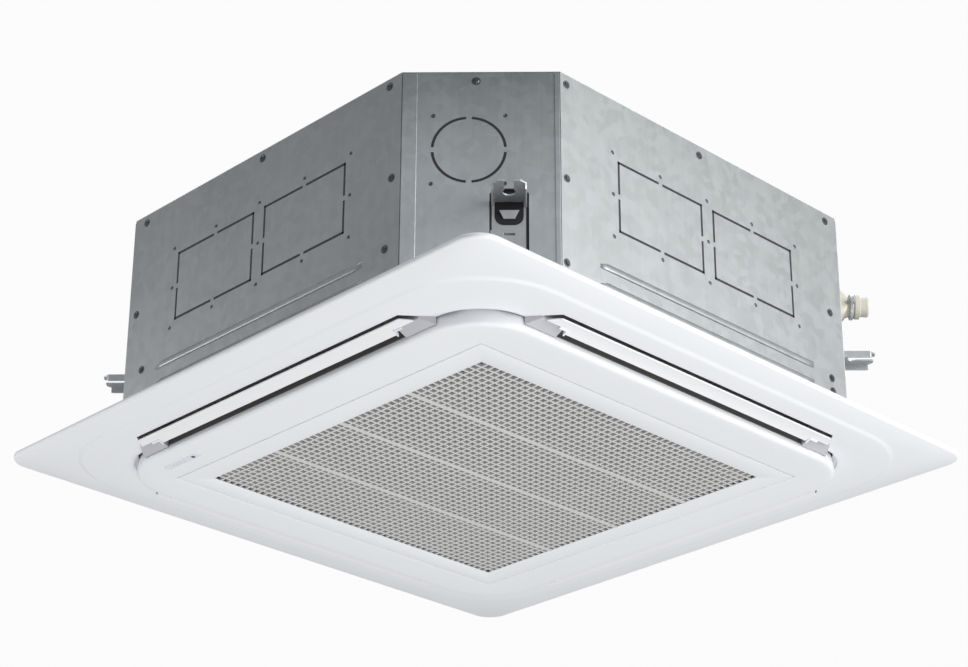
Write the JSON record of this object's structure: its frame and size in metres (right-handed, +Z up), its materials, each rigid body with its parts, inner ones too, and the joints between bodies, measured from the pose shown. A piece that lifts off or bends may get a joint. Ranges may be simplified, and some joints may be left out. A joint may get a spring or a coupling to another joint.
{
  "type": "ceiling cassette air conditioner",
  "caption": "Ceiling cassette air conditioner: steel casing with cut corners and hangers above a white square panel with tilting louvers and a hinged lattice inlet; fan, coil and pump inside.",
  "frame": {"origin": "centre of the unit in the ceiling plane, level with the back of the panel's rim", "axes": "+Z up into the ceiling void; +X towards the side with the refrigerant pipes; the inlet door is hinged along its -X edge"},
  "size_m": [0.95, 0.95, 0.353],
  "materials": {
    "casing_steel": "galvanised sheet steel, matt",
    "bracket_steel": "zinc-plated steel, satin",
    "panel_plastic": "white moulded plastic, satin",
    "grille_plastic": "pale warm grey moulded plastic, matt",
    "filter_net": "fine plastic net",
    "white_foam": "expanded polystyrene",
    "cream_plastic": "cream moulded plastic",
    "dark_plastic": "black moulded plastic",
    "coil_fins": "bare aluminium fins",
    "rubber": "black rubber and foam rubber",
    "brass": "plain brass",
    "copper": "bare copper tube",
    "circuit_board": "green circuit board"
  },
  "bodies": {
    "casing": {"top_plate": "casing_steel", "side_panel_right": "casing_steel", "side_panel_rear": "casing_steel", "side_panel_left": "casing_steel", "side_panel_front": "casing_steel", "corner_panel_far": "casing_steel", "corner_panel_left": "casing_steel", "corner_panel_near": "casing_steel", "corner_panel_right": "casing_steel", "pipe_plate": "casing_steel", "control_box": "casing_steel", "control_box_cover": "casing_steel", "hanger_bracket_far": "bracket_steel", "hanger_bracket_left": "bracket_steel", "hanger_bracket_near": "bracket_steel", "hanger_bracket_right": "bracket_steel", "coil_end_plate_front": "bracket_steel", "coil_end_plate_right": "bracket_steel", "fan_motor": "bracket_steel", "motor_bracket": "bracket_steel", "grille_hinge_pin_rear": "bracket_steel", "grille_hinge_pin_front": "bracket_steel", "grille_clip_rear": "bracket_steel", "grille_clip_front": "bracket_steel", "foam_liner": "white_foam", "drain_pan": "white_foam", "bell_mouth": "dark_plastic", "drain_pump": "dark_plastic", "louver_motor_right": "dark_plastic", "louver_motor_rear": "dark_plastic", "louver_motor_left": "dark_plastic", "louver_motor_front": "dark_plastic", "heat_exchanger": "coil_fins", "motor_bush_1": "rubber", "motor_bush_2": "rubber", "motor_bush_3": "rubber", "drain_hose": "rubber", "cable_gland": "rubber", "panel_seal": "rubber", "gas_flare_nut": "brass", "liquid_flare_nut": "brass", "drain_outlet": "cream_plastic", "float_switch": "cream_plastic", "terminal_block": "cream_plastic", "gas_pipe": "copper", "liquid_pipe": "copper", "control_board": "circuit_board", "panel_frame": "panel_plastic", "centre_frame": "panel_plastic", "display_window": "panel_plastic"},
    "rotor": {"turbo_fan": "dark_plastic", "fan_shaft": "bracket_steel", "fan_nut": "brass"},
    "grille": {"inlet_grille": "grille_plastic", "air_filter": "filter_net"},
    "louver_right": {"louver_right": "panel_plastic"},
    "louver_rear": {"louver_rear": "panel_plastic"},
    "louver_left": {"louver_left": "panel_plastic"},
    "louver_front": {"louver_front": "panel_plastic"},
    "float": {"float": "dark_plastic"}
  },
  "joints": [
    {"name": "fan_spin", "type": "hinge", "parent": "casing", "child": "rotor", "pos_m": [0, 0, 0], "axis": [0, 0, 1], "continuous": true},
    {"name": "grille_open", "type": "hinge", "parent": "casing", "child": "grille", "pos_m": [-0.298, 0, -0.0308], "axis": [0, 1, 0], "range_deg": [0, 85]},
    {"name": "louver_right_tilt", "type": "hinge", "parent": "casing", "child": "louver_right", "pos_m": [0.3865, 0, -0.0205], "axis": [0, 1, 0], "range_deg": [-18, 45]},
    {"name": "louver_rear_tilt", "type": "hinge", "parent": "casing", "child": "louver_rear", "pos_m": [0, 0.3865, -0.0205], "axis": [-1, 0, 0], "range_deg": [-18, 45]},
    {"name": "louver_left_tilt", "type": "hinge", "parent": "casing", "child": "louver_left", "pos_m": [-0.3865, 0, -0.0205], "axis": [0, -1, 0], "range_deg": [-18, 45]},
    {"name": "louver_front_tilt", "type": "hinge", "parent": "casing", "child": "louver_front", "pos_m": [0, -0.3865, -0.0205], "axis": [1, 0, 0], "range_deg": [-18, 45]},
    {"name": "float_rise", "type": "slide", "parent": "casing", "child": "float", "axis": [0, 0, 1], "range_m": [0, 0.014]}
  ]
}
